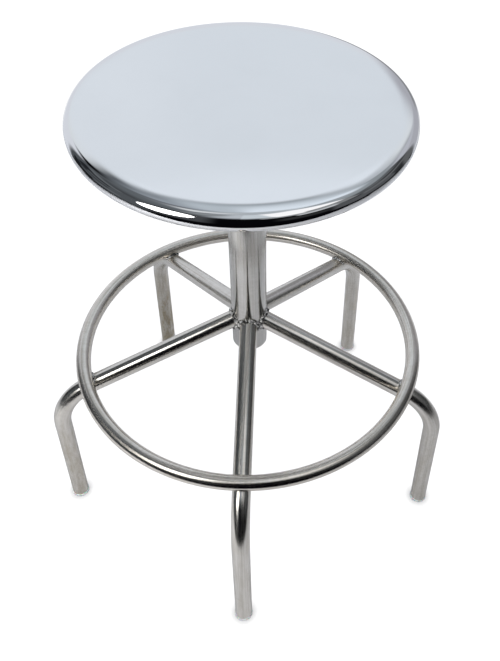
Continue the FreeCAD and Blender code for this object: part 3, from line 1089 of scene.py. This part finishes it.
@dataclass
class Frame:
    """The welded base: the centre tube, the legs with their glides, and the foot ring."""

    finishes: Finishes
    path: LegPath = field(default_factory=LegPath)
    names: Sequence[str] = ("front", "front_right", "rear_right", "rear_left", "front_left")
    first_angle: float = -90.0
    # How much each leg darkens towards the floor: partly stain, partly painted shade; most on the rear left
    # leg.
    stain_and_shade_weight: Sequence[float] = (0.15, 0.25, 0.4, 1.0, 0.5)
    grain_spacing: float = 1.7
    leg_radius: float = 0.0127
    leg_wall: float = 0.00165
    bend_steps: int = 36
    cope_heights: tuple[float, float] = (0.2, 0.5)
    hub_wall: float = 0.003
    hub_round: float = 0.0007
    set_screw_angles: Sequence[float] = (-30.0, 90.0, 210.0)
    set_screw_hole: float = 0.0031
    set_screw_depth: float = 0.014
    ring_radius: float = 0.248
    ring_steps: int = 288
    hub_bead: float = 0.0034
    ring_bead: float = 0.0031
    weld_gap: float = 0.00005
    overrun: float = 0.005
    glide_head: float = 0.0048
    glide_brim: float = 0.0008
    glide_rounds: tuple[float, float] = (0.0016, 0.0009)
    glide_land: float = 0.0006
    glide_top: float = 0.0097
    plug_wall: float = 0.0025
    plug_floor: float = 0.003
    plug_round: float = 0.001

    def __post_init__(self) -> None:
        """Reads the other sizes from the construction model."""
        self.angles = [self.first_angle + 360 / len(self.names) * i for i in range(len(self.names))]
        self.hub_radius = half_width("hub_tube")
        low, high = heights("foot_ring")
        self.ring_tube = (high - low) / 2
        self.contact = Vector((self.ring_radius, 0, (high + low) / 2))

    def build(self) -> None:
        """Builds and dresses the base."""
        self.hub()
        self.legs()
        self.foot_ring()
        self.beads()
        self.glides()
        self.plug()

    def hub(self) -> None:
        """The centre tube with the holes of its set screws."""
        high = heights("hub_tube")[1]
        bore = self.hub_radius - self.hub_wall
        tube = turn_ring("centre_tube", "hub_tube", bore)
        for facing in map(level, self.set_screw_angles):
            start = facing * (bore - self.overrun) + UP * (high - self.set_screw_depth)
            length = self.hub_wall + 2 * self.overrun
            tube.cut(Workpiece.rod(self.set_screw_hole, start, length, facing, 32))
        tube.ease(self.hub_round, 3)
        tube.mark(lambda point: point)
        tube.finish(Body.BASE, "satin_steel", self.finishes.hub, "hub_tube")

    def leg_rod(self, radius: float, extra: float) -> Workpiece:
        """Makes a closed rod along a leg's centreline.

        Args:
            radius: Its radius.
            extra: How far it runs past each end.

        Returns:
            The rod.
        """
        path = self.path
        start = path.top - path.upper * extra
        rod = Workpiece.circle("leg", radius, 64, start, path.upper)
        rod.extrude(path.bend_start - start)
        rod.spin(path.bend_centre, SIDE, path.turn, self.bend_steps)
        rod.extrude(path.lower * (path.bend_end.z / math.cos(path.splay) + extra))
        rod.close()
        return rod

    def ring_rod(self, radius: float) -> Workpiece:
        """Makes a closed ring on the foot ring's centreline.

        Args:
            radius: The radius of its tube.

        Returns:
            The ring.
        """
        ring = Workpiece.circle("foot_ring_tube", radius, 48, self.contact, SIDE)
        ring.spin(ORIGIN, UP, math.tau, self.ring_steps)
        ring.leave()
        return ring

    def legs(self) -> None:
        """The leg tubes, coped to the hub, saddled for the ring and cut level for the glides."""
        leg = self.leg_rod(self.leg_radius, self.overrun)
        cope_low, cope_high = self.cope_heights
        below = Vector((self.path.foot_radius, 0, -2 * self.overrun))
        leg.cut(
            self.leg_rod(self.leg_radius - self.leg_wall, 2 * self.overrun),
            Workpiece.rod(self.hub_radius + self.weld_gap, UP * cope_low, cope_high - cope_low),
            self.ring_rod(self.ring_tube + self.weld_gap),
            Workpiece.rod(2 * self.leg_radius, below, self.glide_head - below.z))
        leg.mark(self.path.grain)
        for i, name in enumerate(self.names):
            copy = leg.turned_copy("leg_tube_" + name, self.angles[i])
            attributes = copy.object.data.attributes
            for value in attributes[Pattern.TUBE.value].data:
                value.vector.z += self.grain_spacing * i
            # Each leg's weight of stain and painted shade.
            stain_and_shade_weight = attributes.new(STAIN_SHADE_ATTRIBUTE, "FLOAT", "POINT")
            stain_and_shade_weight.data.foreach_set("value", [self.stain_and_shade_weight[i]] * len(stain_and_shade_weight.data))
            copy.finish(Body.BASE, "satin_steel", self.finishes.tube, "leg_" + name)
        bpy.data.objects.remove(leg.object)

    def foot_ring(self) -> None:
        """The foot ring."""
        ring = self.ring_rod(self.ring_tube)
        ring.mark(self.ring_grain)
        ring.finish(Body.BASE, "satin_steel", self.finishes.ring, "foot_ring")

    def ring_grain(self, point: Vector) -> Vector:
        """Returns a point's two places across the ring's tube and its place along it."""
        across = Vector((point.x, point.y)).length - self.ring_radius
        return Vector((across, point.z, math.atan2(point.y, point.x) * self.ring_radius))

    def hub_seam(self, angle: float) -> tuple[Vector, Vector]:
        """Follows the seam of a leg at the hub.

        Args:
            angle: The angle round the leg.

        Returns:
            The place on the seam, and the direction out of its corner.
        """
        path = self.path
        outward = path.upper_normal * math.cos(angle) + SIDE * math.sin(angle)
        across = outward * self.leg_radius
        reach = math.sqrt(self.hub_radius ** 2 - across.y ** 2)
        place = path.top + across + path.upper * ((reach - across.x) / path.upper.x)
        radial = Vector((place.x, place.y, 0)).normalized()
        return place, (outward + radial).normalized()

    def ring_seam(self, angle: float) -> tuple[Vector, Vector]:
        """Follows the seam of the ring on a leg, on the hub's side.

        Args:
            angle: The angle round the leg.

        Returns:
            The place on the seam, and the direction out of its corner.
        """
        path = self.path
        arm = self.contact - path.bend_centre
        normal = arm.normalized()
        run = Vector((normal.z, 0, -normal.x))
        distance = arm.length - path.bend_radius
        widest = math.acos((distance - self.ring_tube) / self.leg_radius)
        around = widest * math.sin(angle)
        out = self.leg_radius * math.cos(around)
        sideways = SIDE * (self.leg_radius * math.sin(around))
        along = math.sqrt(max(self.ring_tube ** 2 - (distance - out) ** 2, 0.0))
        along = -math.copysign(along, math.cos(angle))
        sag = along ** 2 / (2 * path.bend_radius)
        place = self.contact + normal * (out - distance - sag) + run * along + sideways
        leg_out = normal * math.cos(around) + SIDE * math.sin(around)
        ring_out = (place - self.contact - sideways).normalized()
        return place, (leg_out + ring_out).normalized()

    def beads(self) -> None:
        """The beads of the legs at the hub, and those of the ring on the legs, on the hub's side only."""
        seams = (
            ("hub", WeldBead(self.hub_bead, 240, math.tau, self.hub_seam)),
            ("ring", WeldBead(self.ring_bead, 104, math.pi, self.ring_seam)),
        )
        for place, weld in seams:
            bead = weld.lay(place + "_beads")
            first, *others = [bead.turned_copy("copy", angle) for angle in self.angles]
            bead.object.data = first.object.data
            bpy.data.objects.remove(first.object)
            bead.join(*others)
            bead.finish(Body.BASE, "weld_metal", self.finishes.weld, place + "_weld_beads", smooth=60)

    def glides(self) -> None:
        """The nylon glides under the legs."""
        high = self.glide_head
        radius = self.leg_radius + self.glide_brim
        lower, upper = self.glide_rounds
        profile = [(POLE_RADIUS, 0.0), (radius - lower - self.glide_land, 0.0)]
        profile += arc((radius - lower, lower), lower, -90, 0, 6)
        profile += arc((radius - upper, high - upper), upper, 0, 90, 5)
        head = turn_profile("glide", profile + [(self.glide_top, high)])
        offset = self.path.foot_radius - high * math.tan(self.path.splay)
        head.object.data.transform(Matrix.Translation((offset, 0, 0)))
        for name, angle in zip(self.names, self.angles):
            copy = head.turned_copy("glide_head_" + name, angle)
            copy.finish(Body.BASE, "clear_glide", self.finishes.glide, "glide_" + name)
        bpy.data.objects.remove(head.object)

    def plug(self) -> None:
        """The plug in the hub's lower end."""
        low, high = heights("hub_plug")
        radius = half_width("hub_plug")
        inner = radius - self.plug_wall
        floor = low + self.plug_floor
        edge = radius - self.plug_round
        profile = [(POLE_RADIUS, low), (edge, low)]
        profile += arc((edge, low + self.plug_round), self.plug_round, -90, 0, 4)
        profile += [(radius, high), (inner, high), (inner, floor), (POLE_RADIUS, floor)]
        plug = turn_profile("hub_plug_moulded", profile)
        plug.finish(Body.BASE, "grey_plastic", self.finishes.plug, "hub_plug")


def take_onto_stage(name: str, *hidden: str) -> NodeDesk:
    """Gives the new primitive, which belongs to the studio, a name and a material.

    Args:
        name: The name of both.
        hidden: The kinds of ray that don't see it.

    Returns:
        The desk of the material.
    """
    piece = bpy.context.active_object
    piece.name = name
    for ray in hidden:
        setattr(piece, "visible_" + ray, False)
    material, desk = NodeDesk.of_material(name)
    piece.data.materials.append(material)
    return desk


@dataclass(frozen=True)
class Panel:
    """A soft-edged patch of the studio's dome, by its direction from the dome's centre in degrees.

    The bearing is 0 behind the stool and positive to its right, and the height is above the horizon.
    """

    bearing: tuple[float, float]
    height: tuple[float, float]
    softness: float
    colour: Colour


@dataclass
class SoftBox:
    """A soft box, of which reflections see the face, where it has one, and the paper gets the light."""

    name: str
    place: Vector
    target: Vector
    half_sizes: tuple[float, float]
    face_strength: float
    energy: float

    def build(self) -> None:
        """Makes the face and the lamp."""
        turn = (self.place - self.target).to_track_quat("Z", "Y").to_euler()
        if self.face_strength:
            bpy.ops.object.select_all(action="DESELECT")
            bpy.ops.mesh.primitive_circle_add(
                vertices=48, radius=1, fill_type="NGON", location=self.place, rotation=turn)
            bpy.context.active_object.scale = (*self.half_sizes, 1)
            desk = take_onto_stage(self.name + "_face", "camera", "diffuse", "shadow", "transmission")
            light = {"Color": (*WHITE, 1.0), "Strength": self.face_strength}
            desk.end(desk.node("ShaderNodeEmission", None, light))
        lamp = bpy.data.lights.new(self.name, "AREA")
        lamp.shape = "ELLIPSE"
        lamp.size, lamp.size_y = (2 * size for size in self.half_sizes)
        lamp.energy = self.energy
        holder = bpy.data.objects.new(self.name, lamp)
        holder.location = self.place
        holder.rotation_euler = turn
        holder.visible_glossy = False
        bpy.context.scene.collection.objects.link(holder)


@dataclass
class Studio:
    """The plain studio: paper on the floor and up behind the stool, two soft boxes and a dim room round them.

    A later panel lies over the earlier ones.
    """

    left_wall: Sequence[Panel] = (
        Panel((-163, -108), (-2, 56), 6, (0.062, 0.066, 0.072)),
        Panel((-130, -101), (-14, 0), 4, (0.055, 0.06, 0.065)),
        Panel((-126, -68), (-2, 56), 4, (0.085, 0.094, 0.104)),
        Panel((-112, -80), (42, 46.5), 3, (0.06, 0.067, 0.075)),
        Panel((-120, -97), (37.5, 42), 2, (0.06, 0.065, 0.072)),
        Panel((-106, -78), (34, 38), 1.5, (0.145, 0.158, 0.17)),
        Panel((-87, -73), (38, 41.5), 1.5, (0.12, 0.132, 0.145)),
        Panel((-101, -79), (26.5, 31), 1.5, (0.018, 0.02, 0.024)),
        Panel((-84, -75), (18, 34), 1.5, (0.018, 0.02, 0.024)),
        Panel((-103, -79), (14, 18.5), 1.5, (0.033, 0.036, 0.04)),
        Panel((-112, -97), (6, 10), 1.5, (0.15, 0.162, 0.175)),
        Panel((-80, -72), (-4, 16), 1.5, (0.015, 0.017, 0.02)),
        Panel((-91, -73), (-4, 7), 1.5, (0.012, 0.013, 0.015)),
        Panel((-100, -80), (-12, -3), 2, (0.018, 0.02, 0.023)),
    )
    right_wall: Sequence[Panel] = (
        Panel((62, 128), (0, 50), 3, (0.088, 0.093, 0.1)),
        Panel((62, 98), (42.5, 47.5), 1.5, (0.04, 0.043, 0.048)),
        Panel((70, 96), (38.5, 42), 1.5, (0.145, 0.155, 0.165)),
        Panel((64, 88), (30.5, 38), 1.5, (0.05, 0.053, 0.058)),
        Panel((70, 108), (26, 30), 1.5, (0.14, 0.147, 0.155)),
        Panel((106, 116), (26, 32), 2, (0.045, 0.048, 0.052)),
        Panel((78, 106), (22, 26), 1.5, (0.14, 0.147, 0.155)),
        Panel((70, 84), (18, 24), 1.5, (0.038, 0.04, 0.044)),
        Panel((60, 72), (-4, 30), 2, (0.12, 0.125, 0.13)),
        Panel((74, 83), (1, 18), 1.5, (0.028, 0.03, 0.033)),
        Panel((75, 106), (-6, 4), 1.5, (0.012, 0.013, 0.015)),
        Panel((128, 158), (8, 26), 6, (0.03, 0.031, 0.033)),
    )
    ceiling: Sequence[Panel] = (
        Panel((-220, -158), (48, 120), 8, (0.52, 0.56, 0.61)),
        Panel((150, 220), (46, 120), 7, (0.62, 0.68, 0.73)),
        Panel((-158, -45), (52, 120), 5, (0.12, 0.135, 0.15)),
        Panel((-165, -136), (56, 120), 9, (0.27, 0.29, 0.31)),
        Panel((-130, -50), (66, 120), 6, (0.2, 0.215, 0.24)),
        Panel((-44, -8), (54, 120), 10, (0.34, 0.38, 0.43)),
        Panel((-22, 155), (55, 120), 6, (0.5, 0.56, 0.62)),
        Panel((-5, 74), (60, 120), 6, (0.78, 0.86, 0.95)),
        Panel((74, 104), (50, 76), 4, (0.34, 0.37, 0.4)),
        Panel((-220, 220), (77, 120), 5, (0.44, 0.48, 0.52)),
        Panel((-128, -78), (71, 120), 4, (0.72, 0.75, 0.78)),
        Panel((30, 108), (46, 58), 5, (0.28, 0.31, 0.335)),
        Panel((12, 34), (46, 56), 4, (0.5, 0.54, 0.59)),
    )
    paper_wall: Sequence[Panel] = (
        Panel((-66, 58), (-60, 39), 4, (0.725, 0.755, 0.82)),
        Panel((-50, 30), (30, 48), 4, (0.74, 0.785, 0.83)),
        Panel((-30, 24), (30, 53.5), 4, (0.725, 0.782, 0.852)),
        Panel((-24, 22), (46.5, 53), 2.5, (0.79, 0.852, 0.93)),
        Panel((-36, -14), (30, 46), 6, (0.76, 0.815, 0.885)),
        Panel((17, 59), (-6, 36), 4, (0.43, 0.44, 0.49)),
        Panel((31, 59), (34, 48), 4, (0.5, 0.52, 0.58)),
        Panel((8, 36), (-3, 19), 4, (0.25, 0.255, 0.27)),
        Panel((-44, -26), (-30, 1), 4, (0.93, 0.94, 0.97)),
        Panel((12, 48), (-30, -5), 5, (0.82, 0.83, 0.84)),
    )
    side_cards: Sequence[Panel] = (
        Panel((64, 101), (-30, -7), 2, (0.3, 0.31, 0.32)),
        Panel((-79, -64), (-30, -9), 2, (0.6, 0.61, 0.62)),
        Panel((107, 122), (33, 48), 2, (0.23, 0.24, 0.25)),
        Panel((122, 147), (31, 38), 2, (0.62, 0.64, 0.67)),
        Panel((120, 168), (38, 46), 2, (0.33, 0.345, 0.36)),
        Panel((108, 160), (49.5, 77), 3, (1.08, 1.08, 1.1)),
        Panel((138, 158), (45.5, 60), 2, (1.08, 1.08, 1.1)),
    )
    dark: Colour = (0.002, 0.002, 0.003)
    dim: Colour = (0.6, 0.62, 0.65)
    dome_radius: float = 1.8
    dome_height: float = 0.4
    floor_size: float = 12.0
    paper_edge: tuple[float, float] = (-0.70, 0.06)
    paper_colour: Colour = (0.74, 0.74, 0.76)
    # A brighter paper behind and left of the stool: a painted pool of light, seen in reflections.
    painted_light_colour: Colour = (0.95, 0.95, 0.97)
    painted_light_edge: tuple[float, float] = (0.2, 0.12)
    painted_light_slant: tuple[float, float] = (-0.6, 0.15)
    shadow_colour: Colour = (0.15, 0.15, 0.15)
    # How far the painted contact shadow round the feet reaches.
    painted_shadow_reach: float = 0.014
    boxes: Sequence[SoftBox] = (
        SoftBox("left_box", Vector((-0.617, -0.722, 0.892)), Vector((-0.337, -0.527, 0.06)),
                (0.245, 0.385), 4.0, 8.0),
        SoftBox("top_box", Vector((0.7, -0.6, 2.0)), Vector((0.1, -0.1, 0.3)), (0.5, 0.5), 0.0, 12.0),
    )

    def build(self) -> None:
        """Makes the world, the dome, the floor and the soft boxes."""
        self.world()
        self.dome()
        self.floor()
        for box in self.boxes:
            box.build()

    def world(self) -> None:
        """White for the camera, and dim for every other ray."""
        world = bpy.data.worlds.new("studio")
        bpy.context.scene.world = world
        world.use_nodes = True
        desk = NodeDesk(world.node_tree)
        camera = desk.node("ShaderNodeLightPath", None, None, "Is Camera Ray")
        colour = desk.mix(camera, self.dim, WHITE)
        desk.end(desk.node("ShaderNodeBackground", None, {"Color": colour}), "ShaderNodeOutputWorld")

    def dome(self) -> None:
        """The room as a dome of soft patches, which only reflections and bounced light see."""
        bpy.ops.object.select_all(action="DESELECT")
        bpy.ops.mesh.primitive_uv_sphere_add(
            segments=64, ring_count=32, radius=self.dome_radius, location=(0, 0, self.dome_height))
        desk = take_onto_stage("studio_dome", "camera", "shadow")
        x, y, z = desk.axes()
        bearing = x.call("ARCTAN2", y) * math.degrees(1)
        height = (z / self.dome_radius).call("ARCSINE") * math.degrees(1)
        colour: Any = self.dark
        for panels in (self.left_wall, self.right_wall, self.ceiling, self.paper_wall, self.side_cards):
            for panel in panels:
                across = bearing.within(*panel.bearing, panel.softness)
                colour = desk.mix(across * height.within(*panel.height, panel.softness), colour, panel.colour)
        desk.end(desk.node("ShaderNodeEmission", None, {"Color": colour}))

    def floor(self) -> None:
        """The floor: paper that ends in front of the stool, with a painted pool of light behind and left of
        it; for the camera white, with the lamps' shadows and a painted contact shadow round the feet.

        The camera sees through it from below.
        """
        bpy.ops.object.select_all(action="DESELECT")
        bpy.ops.mesh.primitive_plane_add(size=self.floor_size, location=ORIGIN)
        desk = take_onto_stage("studio_floor")
        x, y, _ = desk.axes()
        # Brighter behind and left of the stool: a painted pool of light on the paper.
        slant, shift = self.painted_light_slant
        painted_light = y.call("MAXIMUM", x * slant - shift).step(*self.painted_light_edge)
        paper_colour = desk.mix(painted_light, self.paper_colour, self.painted_light_colour)
        seen_colour = desk.mix(y.step(*self.paper_edge), self.dark, paper_colour)
        paper = desk.node("ShaderNodeBsdfDiffuse", None, {"Color": seen_colour})
        shadow = desk.node("ShaderNodeBsdfDiffuse", None, {"Color": (*self.shadow_colour, 1.0)})
        # Ambient occlusion near the feet, put into the glow's colour: a painted contact shadow.
        contact = desk.node(
            "ShaderNodeAmbientOcclusion", {"samples": 8}, {"Distance": self.painted_shadow_reach}, "AO")
        painted_shadow_grey = desk.mix(contact, BLACK, WHITE)
        glow = desk.node("ShaderNodeEmission", None, {"Color": painted_shadow_grey, "Strength": 1.0})
        bright = desk.node("ShaderNodeAddShader", None, {0: glow, 1: shadow})
        camera = desk.node("ShaderNodeLightPath", None, None, "Is Camera Ray")
        below = desk.node("ShaderNodeNewGeometry", None, None, "Backfacing") * camera
        above = desk.node("ShaderNodeMixShader", None, {0: camera, 1: paper, 2: bright})
        clear = desk.node("ShaderNodeBsdfTransparent")
        desk.end(desk.node("ShaderNodeMixShader", None, {0: below, 1: above, 2: clear}))


@dataclass
class PhotoCamera:
    """The camera at the photograph's place, fitted to its outlines.

    The principal point is in pixels of the photograph's frame, which is 500 wide and 661 high.
    """

    place: Vector = field(default_factory=lambda: Vector((0.0540, -0.7962, 1.1921)))
    heading: float = 0.0379
    pitch: float = 0.8266
    roll: float = 0.0511
    focal_pixels: float = 788.91
    principal: tuple[float, float] = (306.05, 324.19)
    frame_pixels: tuple[float, float] = (500.0, 661.0)

    def build(self) -> None:
        """Makes the camera and sets it as the scene's."""
        ahead = Vector((math.sin(self.heading), math.cos(self.heading), 0))
        forward = ahead * math.cos(self.pitch) - UP * math.sin(self.pitch)
        right = forward.cross(UP).normalized()
        above = right.cross(forward)
        turned_right = right * math.cos(self.roll) + above * math.sin(self.roll)
        turned_above = above * math.cos(self.roll) - right * math.sin(self.roll)
        data = bpy.data.cameras.new("photo_camera")
        camera = bpy.data.objects.new("photo_camera", data)
        turn = Matrix((turned_right, turned_above, -forward)).transposed()
        camera.matrix_world = Matrix.Translation(self.place) @ turn.to_4x4()
        long_side = self.frame_pixels[1]
        data.lens = self.focal_pixels * data.sensor_width / long_side
        data.shift_x = (self.frame_pixels[0] / 2 - self.principal[0]) / long_side
        data.shift_y = (self.principal[1] - self.frame_pixels[1] / 2) / long_side
        data.clip_start = 0.01
        bpy.context.scene.collection.objects.link(camera)
        bpy.context.scene.camera = camera


def main() -> None:
    """Builds the stool's looks round the frame, then the studio and the camera."""
    logging.basicConfig(level=logging.INFO, format="%(name)s: %(message)s")
    finishes = Finishes()
    Seat(finishes).build()
    ScrewLift(finishes).build()
    Frame(finishes).build()
    Studio().build()
    PhotoCamera().build()
    bpy.context.scene.view_settings.view_transform = "Standard"


if __name__ == "__main__":
    main()
